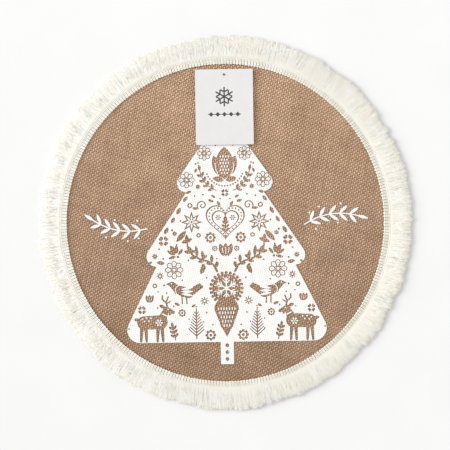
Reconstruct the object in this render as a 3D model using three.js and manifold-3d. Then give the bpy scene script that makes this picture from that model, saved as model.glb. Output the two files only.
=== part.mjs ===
// Round festive mat with a printed cloth face, a sewn-on cotton fringe trim and a card hang tag.
// Millimetres, +Z up. The origin is the centre of the underside, which lies on the table.
// The top of the printed fir tree points along +Y.
import * as THREE from "three";
import { mergeVertices } from "three/addons/utils/BufferGeometryUtils.js";
import Module from "manifold-3d";

const wasm = await Module();
wasm.setup();

// ---- Plan sizes of the mat ----
const overall_diameter = 380;
const fringe_length = 21; // free yarn past the header band
const header_width = 7.5; // woven band of the trim
const cloth_tuck = 4.4; // cloth hidden under the header band
const overlock_width = 2.6; // thread casing on the cloth's raw edge
const seam_inset = 1.1; // seam line, in from the header's inner edge
const chain_inset = 0.8; // chain thread, in from the header's outer edge
const join_angle = -56.25; // where the two ends of the trim meet, in degrees
const join_gap = 0.8;

// ---- Thicknesses ----
const backing_thickness = 0.5;
const face_thickness = 1.1;
const header_thickness = 0.9;
const overlock_leg = 0.22; // thread lying over each side of the cloth's rim
const thread_width = 0.5;
const thread_height = 0.3;
const thread_proud = 0.1; // how far a thread stands out of its groove
const ink_thickness = 0.12;
const fringe_peak = 2.55; // highest point of the fringe
const fringe_tip_height = 1.8;
const fringe_rise = 0.3; // share of the fringe's length where its yarns have dropped to the table
const fringe_fall = 0.7; // share of its length where its top has sunk to fringe_fall_height of its peak
const fringe_fall_height = 0.88;

// ---- Clearances ----
const gap = 0.04; // between cloth, thread and yarn that lie against each other
const groove_clearance = 0.05;

// ---- Print ----
const print_margin = 9.5; // from the tree's widest corner to the header
const print_turn = 0.9; // the print sits a little askew, in degrees
const sprig_length = 56;
const sprig_stem = 1.3;
const sprig_leaf_length = 12;
const sprig_leaf_width = 3.2;
const leaf_belly = 0.45; // share of a leaf's length where it is widest
const sprig_pairs = 5;
const sprig_arch = 0.11; // rise of the stem's arch, as a share of its length
const sprig_tilt = 9; // degrees
const leaf_slant = 42; // a leaf's angle to the stem, in degrees

// ---- Hang tag and its plastic pin ----
const tag_width = 59;
const tag_height = 77;
const card_thickness = 0.4;
const tag_hole_diameter = 1.6;
const tag_hole_inset = 5.4; // from the card's top edge to the hole's centre
const tag_turn = 0.9; // degrees
const tag_mark_size = 20;
const tag_mark_inset = 28; // from the card's top edge to the mark's centre
const tag_rule_length = 34;
const tag_rule_width = 0.7;
const tag_rule_gap = 8; // from the mark down to the rule
const tag_bead_count = 5; // lozenges along the rule
const tag_bead_size = 3.4;
const tag_mark_line = 1.4;
const tag_mark_twig = 4; // length of the twigs, half-way along each arm of the mark
const tag_ink_thickness = 0.05;
const tag_clearance = 0.2; // between the card and the highest trim under it
const pin_inset = 11.6; // from the header's inner edge to the pin
const pin_side = -1.6; // sideways place of the pin
const pin_offset = 1.2; // from the pin's hole in the cloth to the card's hole
const filament_diameter = 0.5;
const filament_clearance = 0.35;
const bar_length = 8;
const bar_diameter = 0.8;
const bar_clearance = 0.3;
const bar_lift = 0.06; // keeps the bar off the table
const head_diameter = 2.2;
const head_thickness = 0.7;
const head_rim = 0.45; // share of its thickness that stands upright
const head_crown = 0.6; // share of its radius inside the sloping shoulder
const head_dome = 0.06;

const round_steps = 64; // sides of every large round piece
const small_steps = 16;
const thread_steps = 8;

// ---- Places worked out from the sizes ----
const fringe_radius = overall_diameter / 2;
const header_outer = fringe_radius - fringe_length;
const header_inner = header_outer - header_width;
const cloth_radius = header_inner + cloth_tuck;
const face_bottom = backing_thickness;
const face_top = face_bottom + face_thickness;
const header_top = face_top + header_thickness;
const seam_radius = header_inner + seam_inset;
const chain_radius = header_outer - chain_inset;
const overlock_inner = cloth_radius - overlock_width;
const rebate = overlock_leg + gap; // cloth pressed thin under the overlock thread
const tag_bottom = Math.max(header_top + thread_proud, fringe_peak) + tag_clearance;
const tag_top = tag_bottom + card_thickness;
const pin_y = header_inner - pin_inset;
const print_reach = header_inner - print_margin;

// ---- Materials ----
const paint = (color, roughness) => new THREE.MeshStandardMaterial({ color, roughness, metalness: 0 });
const jute = paint(0xab8d74, 0.95);
const lining = paint(0xb9a083, 0.95);
const cotton = paint(0xece9dd, 0.9);
const cotton_thread = paint(0xf3efe2, 0.8);
const brown_thread = paint(0xa2866a, 0.8);
const white_ink = paint(0xf4f4f3, 0.6);
const card = paint(0xefeeee, 0.55);
const dark_nylon = paint(0x4b4948, 0.4);
const clear_nylon = paint(0xc9c9c6, 0.35);
const grey_ink = paint(0x8b8b8b, 0.6);

// ---- Helpers ----
const radians = THREE.MathUtils.degToRad;
const point = (x, y) => new THREE.Vector2(x, y);

// A manifold-3d solid of a closed geometry.
function solidOf(geometry) {
  const bare = geometry.clone();
  bare.deleteAttribute("normal");
  bare.deleteAttribute("uv");
  const merged = mergeVertices(bare, 1e-4);
  return new wasm.Manifold(
    new wasm.Mesh({
      numProp: 3,
      vertProperties: new Float32Array(merged.attributes.position.array),
      triVerts: new Uint32Array(merged.index.array),
    }),
  );
}

function geometryOf(solid) {
  const mesh = solid.getMesh();
  const geometry = new THREE.BufferGeometry();
  geometry.setAttribute("position", new THREE.BufferAttribute(new Float32Array(mesh.vertProperties), 3));
  geometry.setIndex(new THREE.BufferAttribute(new Uint32Array(mesh.triVerts), 1));
  geometry.computeVertexNormals();
  return geometry;
}

const cut = (geometry, ...tools) =>
  geometryOf(tools.reduce((solid, tool) => solid.subtract(solidOf(tool)), solidOf(geometry)));

const join = (first, ...others) =>
  geometryOf(others.reduce((solid, other) => solid.add(solidOf(other)), solidOf(first)));

// A [radius, height] profile turned about +Z.
function turned(profile, steps = round_steps) {
  const geometry = new THREE.LatheGeometry(profile.map(([r, z]) => point(r, z)), steps);
  return geometry.rotateX(Math.PI / 2);
}

const ring = (profile, steps) => turned([...profile, profile[0]], steps);

const band = (inner, outer, bottom, top) =>
  ring([[inner, bottom], [outer, bottom], [outer, top], [inner, top]]);

function post(diameter, bottom, top, x = 0, y = 0, steps = small_steps) {
  const geometry = new THREE.CylinderGeometry(diameter / 2, diameter / 2, top - bottom, steps);
  return geometry.rotateX(Math.PI / 2).translate(x, y, (bottom + top) / 2);
}

function plate(shape, bottom, top, curveSegments = 8) {
  const geometry = new THREE.ExtrudeGeometry(shape, { depth: top - bottom, bevelEnabled: false, curveSegments });
  return geometry.translate(0, 0, bottom);
}

// A bar with round ends lying along X, seen from above.
function stadium(length, width) {
  const half = length / 2 - width / 2;
  const shape = new THREE.Shape();
  shape.absarc(half, 0, width / 2, -Math.PI / 2, Math.PI / 2);
  shape.absarc(-half, 0, width / 2, Math.PI / 2, (3 * Math.PI) / 2);
  return shape;
}

function named(name, geometry, material) {
  const mesh = new THREE.Mesh(geometry, material);
  mesh.name = name;
  return mesh;
}

// The slit between the two ends of the trim.
function joinSlit() {
  const slit = new THREE.BoxGeometry(overall_diameter, join_gap, 4 * header_top);
  return slit.translate(overall_diameter / 2, 0, 0).rotateZ(radians(join_angle));
}

// ---- Cloth ----
// Where the pin goes through both cloths, and the dent that its bar lies in.
function pinWay() {
  const hole = post(filament_diameter + 2 * filament_clearance, -1, face_top + 1);
  return hole.translate(pin_side, pin_y, 0);
}

function barDent() {
  const shape = stadium(bar_length + 2 * bar_clearance, bar_diameter + 2 * bar_clearance);
  const dent = plate(shape, -1, bar_lift + bar_diameter + bar_clearance, small_steps / 4);
  return dent.rotateZ(radians(tag_turn)).translate(pin_side, pin_y, 0);
}

function backingCloth() {
  const groove = thread_width / 2 + groove_clearance;
  const groove_top = thread_height + groove_clearance;
  const disc = turned([
    [0, 0], [seam_radius - groove, 0], [seam_radius - groove, groove_top], [seam_radius + groove, groove_top],
    [seam_radius + groove, 0], [overlock_inner, 0], [overlock_inner, rebate], [cloth_radius, rebate],
    [cloth_radius, backing_thickness], [0, backing_thickness],
  ]);
  return cut(disc, barDent(), pinWay());
}

function faceCloth() {
  const disc = turned([
    [0, face_bottom], [cloth_radius, face_bottom], [cloth_radius, face_top - rebate],
    [overlock_inner, face_top - rebate], [overlock_inner, face_top], [0, face_top],
  ]);
  return cut(disc, barDent(), pinWay());
}

// The overlock thread folds over the raw edge of both cloths.
function overlockThread() {
  const inner = overlock_inner + gap;
  const web = cloth_radius + gap;
  const outer = web + overlock_leg;
  return ring([
    [inner, 0], [outer, 0], [outer, face_top], [inner, face_top],
    [inner, face_top - overlock_leg], [web, face_top - overlock_leg], [web, overlock_leg], [inner, overlock_leg],
  ]);
}

// ---- Trim ----
function trimHeader() {
  const half = thread_width / 2 + groove_clearance;
  const floor = header_top + thread_proud - thread_height - groove_clearance;
  const grooves = [seam_radius, chain_radius].flatMap((r) => [
    [r - half, header_top], [r - half, floor], [r + half, floor], [r + half, header_top],
  ]);
  const outline = [
    [header_inner, header_top], ...grooves, [header_outer, header_top],
    [header_outer, face_top], [header_inner, face_top],
  ];
  return cut(ring(outline.reverse()), joinSlit());
}

function topThread(radius) {
  const top = header_top + thread_proud;
  return band(radius - thread_width / 2, radius + thread_width / 2, top - thread_height, top);
}

function trimFringe() {
  const start = header_outer + gap;
  const rise = start + fringe_length * fringe_rise;
  const section = [
    [rise, 0], [fringe_radius, 0], [fringe_radius, fringe_tip_height],
    [start + fringe_length * fringe_fall, fringe_peak * fringe_fall_height], [rise, fringe_peak],
    [start, header_top], [start, face_top],
  ];
  return cut(ring(section), joinSlit());
}

// ---- Print ----
// Adds a corner to an outline: a straight run up to it, and an arc of the given radius round it.
function roundCorner(shape, before, corner, after, radius) {
  const back = before.clone().sub(corner).normalize();
  const ahead = after.clone().sub(corner).normalize();
  const half_angle = Math.acos(back.dot(ahead)) / 2;
  const inward = back.clone().add(ahead).setLength(radius / Math.sin(half_angle));
  const centre = corner.clone().add(inward);
  const setback = radius / Math.tan(half_angle);
  const start = corner.clone().addScaledVector(back, setback).sub(centre);
  const end = corner.clone().addScaledVector(ahead, setback).sub(centre);
  shape.absarc(centre.x, centre.y, radius, start.angle(), end.angle(), back.cross(ahead) > 0);
}

// The fir tree's outline, clockwise from its top. Each row is x, y and corner radius, in shares of print_reach.
function firTree() {
  const right = [
    [0.368, 0.222, 0.06], [0.259, 0.208, 0], [0.587, -0.282, 0.067],
    [0.467, -0.289, 0], [0.723, -0.8, 0.086], [0.044, -0.8, 0], [0.044, -0.95, 0],
  ];
  const left = right.map(([x, y, radius]) => [-x, y, radius]).reverse();
  const outline = [[0, 0.741, 0.03], ...right, ...left].map(([x, y, radius]) => ({
    at: point(x * print_reach, y * print_reach),
    radius: radius * print_reach,
  }));
  const shape = new THREE.Shape();
  shape.moveTo(...outline.at(-1).at.toArray());
  outline.forEach(({ at, radius }, i) => {
    const before = outline.at(i - 1).at;
    const after = outline[(i + 1) % outline.length].at;
    if (radius > 0) roundCorner(shape, before, at, after, radius);
    else shape.lineTo(at.x, at.y);
  });
  const trunk_dot = 0.0125 * print_reach;
  for (const y of [-0.823, -0.869, -0.915]) {
    const dot = new THREE.Path();
    dot.absarc(0, y * print_reach, trunk_dot, 0, 2 * Math.PI);
    shape.holes.push(dot);
  }
  return plate(shape, face_top + gap, face_top + gap + ink_thickness, 6).rotateZ(radians(print_turn));
}

// A pointed leaf from the origin along +X.
function leaf(length, width) {
  const shape = new THREE.Shape();
  shape.moveTo(0, 0);
  shape.quadraticCurveTo(length * leaf_belly, -width, length, 0);
  shape.quadraticCurveTo(length * leaf_belly, width, 0, 0);
  return shape;
}

// A sprig of leaves on an arched stem, centred on the origin.
function sprig() {
  const bottom = face_top + gap;
  const top = bottom + ink_thickness;
  const half = sprig_length / 2;
  const arch = sprig_arch * sprig_length;
  const rise = (x) => arch * (1 - (x / half) ** 2);
  const slope = (x) => Math.atan((-2 * arch * x) / half ** 2);
  const edge = (side, from, to) => {
    const steps = 12;
    return Array.from({ length: steps + 1 }, (_, i) => {
      const x = from + ((to - from) * i) / steps;
      return point(x, rise(x) + (side * sprig_stem) / 2);
    });
  };
  const stem = new THREE.Shape([...edge(-1, -half, half), ...edge(1, half, -half)]);
  const spacing = sprig_length / (sprig_pairs + 0.5);
  const leaves = [];
  for (let i = 0; i < sprig_pairs; i += 1) {
    const x = -half + spacing * (i + 0.6);
    for (const side of [-1, 1]) {
      const blade = plate(leaf(sprig_leaf_length, sprig_leaf_width), bottom, top, 5);
      leaves.push(blade.rotateZ(slope(x) + side * radians(leaf_slant)).translate(x, rise(x), 0));
    }
  }
  const end_leaf = plate(leaf(sprig_leaf_length, sprig_leaf_width), bottom, top, 5);
  leaves.push(end_leaf.rotateZ(slope(half)).translate(half - sprig_stem, rise(half - sprig_stem), 0));
  return join(plate(stem, bottom, top), ...leaves);
}

// ---- Hang tag ----
// The tag's own frame has its origin on the pin's hole in the cloth, with +Y towards the rim.
const tagTopEdge = () => pin_offset + tag_hole_inset;

function hangTag() {
  const top_edge = tagTopEdge();
  const shape = new THREE.Shape([
    point(-tag_width / 2, top_edge - tag_height), point(tag_width / 2, top_edge - tag_height),
    point(tag_width / 2, top_edge), point(-tag_width / 2, top_edge),
  ]);
  const hole = new THREE.Path();
  hole.absarc(0, pin_offset, tag_hole_diameter / 2, 0, 2 * Math.PI);
  shape.holes.push(hole);
  return plate(shape, tag_bottom, tag_top);
}

// A six-armed snowflake printed on the card.
function tagMark() {
  const bottom = tag_top + gap;
  const top = bottom + tag_ink_thickness;
  const arm = tag_mark_size / 2;
  const bar = (length) => new THREE.BoxGeometry(length, tag_mark_line, tag_ink_thickness).translate(length / 2, 0, 0);
  const pieces = [];
  for (let turn = 0; turn < 6; turn += 1) {
    const angle = (turn * Math.PI) / 3 + Math.PI / 6;
    pieces.push(bar(arm).rotateZ(angle));
    for (const side of [-1, 1]) {
      pieces.push(bar(tag_mark_twig).rotateZ((side * Math.PI) / 3).translate(arm / 2, 0, 0).rotateZ(angle));
    }
  }
  return join(...pieces).translate(0, tagTopEdge() - tag_mark_inset, (bottom + top) / 2);
}

// A line with lozenges on it, under the snowflake.
function tagRule() {
  const rule = new THREE.BoxGeometry(tag_rule_length, tag_rule_width, tag_ink_thickness);
  const spacing = tag_rule_length / tag_bead_count;
  const beads = Array.from({ length: tag_bead_count }, (_, i) => {
    const bead = new THREE.BoxGeometry(tag_bead_size, tag_bead_size, tag_ink_thickness).rotateZ(Math.PI / 4);
    return bead.translate((i - (tag_bead_count - 1) / 2) * spacing, 0, 0);
  });
  const y = tagTopEdge() - tag_mark_inset - tag_mark_size / 2 - tag_rule_gap;
  return join(rule, ...beads).translate(0, y, tag_top + gap + tag_ink_thickness / 2);
}

// The pin's button, resting on the card.
function pinHead() {
  const r = head_diameter / 2;
  const bottom = tag_top + gap;
  const top = bottom + head_thickness;
  const profile = [
    [0, bottom], [r, bottom], [r, bottom + head_thickness * head_rim], [r * head_crown, top - head_dome], [0, top],
  ];
  return turned(profile, small_steps).translate(0, pin_offset, 0);
}

function pinBar() {
  return plate(stadium(bar_length, bar_diameter), bar_lift, bar_lift + bar_diameter, small_steps / 4);
}

// The filament: up through the cloth, round in a slack loop that climbs under the card, and up through its hole.
// Each point of the loop is x, y and how far it has climbed from the cloth to the card.
function pinFilament() {
  const r = filament_diameter / 2;
  const start = bar_lift + bar_diameter + gap;
  const low = face_top + ink_thickness + r + 2 * gap;
  const high = tag_bottom - r - 2 * gap;
  const loop = [
    [-0.25, -0.3, 0], [-1.4, -1.1, 0.1], [-2.7, 0.2, 0.25], [-2.5, 2.2, 0.4], [-0.8, 3.7, 0.55],
    [1.3, 3.6, 0.7], [2.5, 2.2, 0.85], [1.7, 0.9, 0.95], [0.5, 0.95, 1],
  ];
  const route = [
    [0, 0, start], [0, 0, face_top],
    ...loop.map(([x, y, climb]) => [x, y, low + (high - low) * climb]),
    [0, pin_offset, tag_bottom], [0, pin_offset, tag_top],
  ];
  const path = new THREE.CatmullRomCurve3(route.map((p) => new THREE.Vector3(...p)), false, "centripetal");
  const section = new THREE.Shape();
  section.absarc(0, 0, r, 0, 2 * Math.PI);
  return new THREE.ExtrudeGeometry(section, { steps: 40, extrudePath: path, curveSegments: thread_steps });
}

// ---- Assembly ----
const mat = new THREE.Group();
mat.add(
  named("backing_cloth", backingCloth(), lining),
  named("face_cloth", faceCloth(), jute),
  named("edge_overlock_thread", overlockThread(), brown_thread),
  named("trim_header", trimHeader(), cotton),
  named("trim_fringe", trimFringe(), cotton),
  named("trim_chain_thread", cut(topThread(chain_radius), joinSlit()), cotton_thread),
  named("seam_needle_thread", topThread(seam_radius), cotton_thread),
  named(
    "seam_bobbin_thread",
    band(seam_radius - thread_width / 2, seam_radius + thread_width / 2, 0, thread_height),
    cotton_thread,
  ),
  named("tree_print", firTree(), white_ink),
);

// The sprigs lie either side of the tree, each pointing up and away from it.
for (const [name, side, x, y] of [["left_sprig_print", -1, -0.708, -0.012], ["right_sprig_print", 1, 0.712, 0.018]]) {
  const print = named(name, sprig(), white_ink);
  print.position.set(x * print_reach, y * print_reach, 0);
  print.rotation.z = side > 0 ? radians(sprig_tilt) : Math.PI - radians(sprig_tilt);
  mat.add(print);
}

const tag = new THREE.Group();
tag.position.set(pin_side, pin_y, 0);
tag.rotation.z = radians(tag_turn);
tag.add(
  named("tag_pin_bar", pinBar(), dark_nylon),
  named("tag_pin_filament", pinFilament(), clear_nylon),
  named("tag_pin_head", pinHead(), dark_nylon),
  named("hang_tag", hangTag(), card),
  named("tag_mark_print", tagMark(), grey_ink),
  named("tag_rule_print", tagRule(), grey_ink),
);

const part = new THREE.Group();
part.add(mat, tag);
export default part;
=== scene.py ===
"""A round festive mat: open jute cloth with a white print, a cotton fringe trim and a card hang tag.

Lengths are in millimetres, and meshes turn them into metres. +Z is up; the mat lies at z = 0.
"""

import math

import bpy
import numpy as np
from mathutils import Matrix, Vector
from mathutils.geometry import delaunay_2d_cdt


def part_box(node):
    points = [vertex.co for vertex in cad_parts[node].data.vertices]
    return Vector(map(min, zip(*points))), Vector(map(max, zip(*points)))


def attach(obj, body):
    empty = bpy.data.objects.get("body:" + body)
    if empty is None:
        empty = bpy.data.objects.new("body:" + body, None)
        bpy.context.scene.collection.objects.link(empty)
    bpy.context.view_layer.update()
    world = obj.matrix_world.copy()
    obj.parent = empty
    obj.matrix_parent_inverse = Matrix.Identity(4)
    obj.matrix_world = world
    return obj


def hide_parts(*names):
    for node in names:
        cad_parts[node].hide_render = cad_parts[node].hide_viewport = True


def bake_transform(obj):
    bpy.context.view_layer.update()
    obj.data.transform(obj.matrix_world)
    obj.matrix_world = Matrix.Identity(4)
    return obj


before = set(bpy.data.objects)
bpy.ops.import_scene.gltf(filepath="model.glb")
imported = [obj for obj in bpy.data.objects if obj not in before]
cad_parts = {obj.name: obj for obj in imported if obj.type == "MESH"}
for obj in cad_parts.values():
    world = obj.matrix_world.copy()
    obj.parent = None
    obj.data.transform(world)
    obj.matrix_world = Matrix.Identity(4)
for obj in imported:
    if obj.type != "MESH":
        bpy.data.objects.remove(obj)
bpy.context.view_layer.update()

MM = 0.001

# ---- Places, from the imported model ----


def corner(node, high, axis):
    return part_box(node)[high][axis] / MM


fringe_radius = (corner("trim_fringe", 1, 0) - corner("trim_fringe", 0, 0)) / 2
header_outer = corner("trim_header", 1, 0)
cloth_radius = corner("face_cloth", 1, 0)
thread_half = 0.25  # half the width of a sewing thread in CAD
needle_radius = corner("seam_needle_thread", 1, 0) - thread_half
chain_radius = corner("trim_chain_thread", 1, 0) - thread_half
face_bottom = corner("face_cloth", 0, 2)
face_top = corner("face_cloth", 1, 2)
ink_top = corner("tree_print", 1, 2)
card_bottom = corner("hang_tag", 0, 2)
card_top = corner("hang_tag", 1, 2)
fringe_length = fringe_radius - header_outer
join_angle = math.radians(-56.25)
join_gap = 0.3

tag_turn = 0.9  # degrees
pin_at = np.array([-1.6, 149.9])
hole_up = 1.2  # from the pin's hole in the cloth to the card's hole
hole_radius = 0.8
bend_low, bend_high = 2.46, 2.74  # heights between which the pin's filament runs straight up, on close-set rings

# ---- Cloth and trim ----
weave_turn = -11  # degrees
warp_pitch = 2.18
weft_pitch = 2.04
yarn_half = 0.78
yarn_rise = 0.275  # how far a yarn swings up and down, and half its thickness
band_presses_from = 161.8  # radius past which the trim's band flattens the yarns

loops = 341  # loops of the trim's weft; each has two legs
strands_across = 3
stitch_count = 340  # stitches of the seam that holds the trim
needle_low, needle_high = 2.2, 2.52  # heights of the seam's top thread
bobbin_low, bobbin_high = 0.14, 0.4  # and of its thread under the cloth


# ---- Signed distances: below 0 is inside ----
class Plan:
    """Signed distances on a square grid."""

    def __init__(self, low, high, step):
        self.low, self.step = np.array(low, float), step
        count = np.ceil((np.array(high) - low) / step).astype(int) + 1
        self.x = low[0] + step * np.arange(count[0])[:, None] + np.zeros((1, count[1]))
        self.y = low[1] + step * np.arange(count[1])[None, :] + np.zeros((count[0], 1))
        self.d = np.full(count, 1000.0)

    def window(self, centre, reach):
        first = np.floor((np.array(centre) - reach - self.low) / self.step).astype(int)
        last = np.ceil((np.array(centre) + reach - self.low) / self.step).astype(int) + 1
        first, last = np.clip(first, 0, self.d.shape), np.clip(last, 0, self.d.shape)
        return slice(first[0], last[0]), slice(first[1], last[1])

    def stamp(self, shape, centre=(0, 0), reach=400, turn=0, flip=1, ink=False):
        """Cuts a shape out of the ink, or adds it as ink. flip=-1 mirrors it across x = 0.

        Only the grid within reach of its centre is changed."""
        at = self.window((centre[0] * flip, centre[1]), reach)
        x, y = spun(self.x[at] * flip - centre[0], self.y[at] - centre[1], -turn)
        d = shape(x, y)
        self.d[at] = np.minimum(self.d[at], d) if ink else np.maximum(self.d[at], -d)

    def pair(self, shape, centre, reach, turn=0, ink=False):
        for flip in (1, -1):
            self.stamp(shape, centre, reach, turn, flip, ink)

    def sample(self, points):
        """The distance at points between the grid's, from the four round each."""
        place = np.clip((points - self.low) / self.step, 0, np.array(self.d.shape) - 1.001)
        i, j = np.floor(place).astype(int).T
        s, t = (place - np.floor(place)).T
        below = self.d[i, j] * (1 - s) + self.d[i + 1, j] * s
        above = self.d[i, j + 1] * (1 - s) + self.d[i + 1, j + 1] * s
        return below * (1 - t) + above * t

    def contour(self):
        """The line of distance 0: its points, and pairs of them that its short edges join."""
        d = np.where(np.abs(self.d) < 0.02 * self.step, 0.02 * self.step, self.d)
        nx, ny = d.shape
        inside = d < 0
        ids = {}
        points = []
        for axis in (0, 1):
            a = d[:-1, :] if axis == 0 else d[:, :-1]
            b = d[1:, :] if axis == 0 else d[:, 1:]
            i, j = np.nonzero((a < 0) != (b < 0))
            t = a[i, j] / (a[i, j] - b[i, j])
            grid = np.full((nx, ny), -1)
            grid[i, j] = np.arange(len(i)) + sum(len(p) for p in points)
            ids[axis] = grid
            shift = np.stack([t, np.zeros_like(t)] if axis == 0 else [np.zeros_like(t), t], 1)
            points.append(self.low + self.step * (np.stack([i, j], 1) + shift))
        # The four sides of each cell, counter-clockwise from the lower one.
        sides = [ids[0][:-1, :-1], ids[1][1:, :-1], ids[0][:-1, 1:], ids[1][:-1, :-1]]
        corners = [inside[:-1, :-1], inside[1:, :-1], inside[1:, 1:], inside[:-1, 1:]]
        code = sum(c.astype(int) << k for k, c in enumerate(corners))
        joins = {1: [(3, 0)], 2: [(0, 1)], 3: [(3, 1)], 4: [(1, 2)], 5: [(3, 0), (1, 2)], 6: [(0, 2)]}
        joins[7] = [(3, 2)]
        edges = []
        for case in range(1, 15):
            i, j = np.nonzero(code == case)
            for a, b in joins[case if case < 8 else 15 - case]:
                edges.append(np.stack([sides[a][i, j], sides[b][i, j]], 1))
        return np.concatenate(points), np.concatenate(edges)


def spun(x, y, degrees):
    c, s = math.cos(math.radians(degrees)), math.sin(math.radians(degrees))
    return c * x - s * y, s * x + c * y


def disc(r, cx=0, cy=0):
    return lambda x, y: np.hypot(x - cx, y - cy) - r


def hoop(r, half, cx=0, cy=0):
    return lambda x, y: abs(np.hypot(x - cx, y - cy) - r) - half


def oval(rx, ry, cx=0, cy=0, turn=0):
    def distance(x, y):
        x, y = spun(x - cx, y - cy, -turn)
        return (np.hypot(x / rx, y / ry) - 1) * min(rx, ry)

    return distance


def taper(ax, ay, bx, by, ra, rb=None):
    """A rod with round ends from a to b, of radius ra at a and rb at b."""
    rb = ra if rb is None else rb
    long2 = max((bx - ax) ** 2 + (by - ay) ** 2, 1e-9)

    def distance(x, y):
        t = np.clip(((x - ax) * (bx - ax) + (y - ay) * (by - ay)) / long2, 0, 1)
        return np.hypot(x - ax - t * (bx - ax), y - ay - t * (by - ay)) - ra - (rb - ra) * t

    return distance


def line(points, ra, rb=None):
    """A stroke through points, of radius ra at its start and rb at its end."""
    radii = np.linspace(ra, ra if rb is None else rb, len(points))
    runs = zip(points[:-1], points[1:], radii[:-1], radii[1:])
    return union(*[taper(*a, *b, r, s) for a, b, r, s in runs])


def leaf(length, half, cx=0, cy=0, turn=0):
    """A pointed leaf from (cx, cy), along +X before its turn: where two discs overlap."""
    r = (length**2 / 4 + half**2) / (2 * half)

    def distance(x, y):
        x, y = spun(x - cx, y - cy, -turn)
        x = x - length / 2
        return np.maximum(np.hypot(x, y + r - half), np.hypot(x, y - r + half)) - r

    return distance


def polygon(corners):
    corners = np.array(corners, float)

    def distance(x, y):
        best, inside = np.full(x.shape, np.inf), np.zeros(x.shape, bool)
        for (ax, ay), (bx, by) in zip(corners, np.roll(corners, -1, 0)):
            best = np.minimum(best, taper(ax, ay, bx, by, 0)(x, y))
            if ay != by:
                inside ^= ((ay > y) != (by > y)) & (x < (bx - ax) * (y - ay) / (by - ay) + ax)
        return np.where(inside, -best, best)

    return distance


def union(*shapes):
    return lambda x, y: np.minimum.reduce([s(x, y) for s in shapes])


def without(shape, *holes):
    return lambda x, y: np.maximum.reduce([shape(x, y), *[-h(x, y) for h in holes]])


def round_about(shape, count, start=0):
    """A shape repeated round the origin."""
    turns = [start + 360 * i / count for i in range(count)]
    return lambda x, y: np.minimum.reduce([shape(*spun(x, y, -t)) for t in turns])


def mirrored(shape):
    return lambda x, y: shape(abs(x), y)


def mirrored_across(shape):
    return lambda x, y: shape(x, abs(y))


def moved(shape, cx, cy):
    return lambda x, y: shape(x - cx, y - cy)


def scaled(shape, size):
    return lambda x, y: shape(x / size, y / size) * size


def arc(r, start, end, cx=0, cy=0, steps=10):
    turns = np.radians(np.linspace(start, end, steps))
    return [(cx + r * math.cos(t), cy + r * math.sin(t)) for t in turns]


def curl(r0, r1, start, end, steps=14):
    """Points of a spiral from radius r0 to r1."""
    turns, radii = np.radians(np.linspace(start, end, steps)), np.linspace(r0, r1, steps)
    return [(r * math.cos(t), r * math.sin(t)) for t, r in zip(turns, radii)]


def star(count, outer, inner):
    turns = np.pi * np.arange(2 * count) / count + np.pi / 2
    radii = np.where(np.arange(2 * count) % 2, inner, outer)
    return polygon(np.stack([radii * np.cos(turns), radii * np.sin(turns)], 1))


# ---- Motifs of the print ----
def big_star():
    rays = round_about(taper(2.3, 0, 3.6, 0, 0.5), 8, 22.5)
    return union(without(star(8, 11.2, 5.4), star(8, 7.6, 3.4)), disc(1.1), rays)


def cog_flower(size=5.4):
    teeth = round_about(disc(0.25 * size, 0.76 * size), 8)
    return without(union(disc(0.72 * size), teeth), without(disc(0.52 * size), disc(0.27 * size)))


def petal_flower(r, petals=8):
    """Round petals drawn in line, with a dot in each and a ringed centre."""
    edge = 0.8
    petal = without(oval(0.36 * r, 0.3 * r, 0.66 * r), oval(0.36 * r - edge, 0.3 * r - edge, 0.66 * r))
    return union(round_about(petal, petals), hoop(0.22 * r, 0.5), round_about(disc(0.42, 0.66 * r), petals))


def daisy(r):
    petals = round_about(oval(0.34 * r, 0.22 * r, 0.68 * r), 6)
    return union(without(petals, disc(0.38 * r)), disc(0.22 * r))


def clover(size=3.6):
    half = oval(0.4 * size, 0.27 * size, 0.72 * size, 0.2 * size, 20)
    return round_about(mirrored_across(half), 4, 45)


def small_star(size=2.7):
    return round_about(taper(0.4 * size, 0, size, 0, 0.55, 0.45), 8)


def tulip():
    sides = [leaf(13.6, 2.8, 2.2 * side, -6.8, 90 - 16 * side) for side in (-1, 1)]
    cup = union(leaf(14, 2.8, -0.1, -7, 90), *sides)
    veins = union(taper(0, -4, 0, 2.4, 0.4), mirrored(taper(2.6, -3, 3.6, 1.8, 0.4)))
    return without(cup, veins)


def heart_line(size, steps=72):
    t = np.linspace(0, 2 * np.pi, steps, endpoint=False)
    x = 16 * np.sin(t) ** 3
    y = 13 * np.cos(t) - 5 * np.cos(2 * t) - 2 * np.cos(3 * t) - np.cos(4 * t)
    return np.stack([x, y + 2], 1) * size / 16


def heart():
    """A heart with a beaded border and a little plant inside."""
    rim = without(polygon(heart_line(20)), polygon(heart_line(18.6)))
    inner_rim = without(polygon(heart_line(14)), polygon(heart_line(12.7)))
    beads = union(*[disc(0.8, *p) for p in heart_line(16.6, 36)])
    leaves = [leaf(5, 1.3, 0, y, t) for y in (-9, -5.4) for t in (40, 140)]
    leaves += [leaf(4.6, 1.2, 0, -1.8, t) for t in (50, 130)]
    plant = union(taper(0, -10, 0, 1, 0.5), leaf(6, 1.9, 0, 0.4, 90), *leaves)
    flower = union(round_about(oval(1.0, 0.65, 2.0), 6), disc(0.6))
    return union(rim, inner_rim, beads, plant, lambda x, y: flower(abs(x) - 7.4, y - 4.8))


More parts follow.
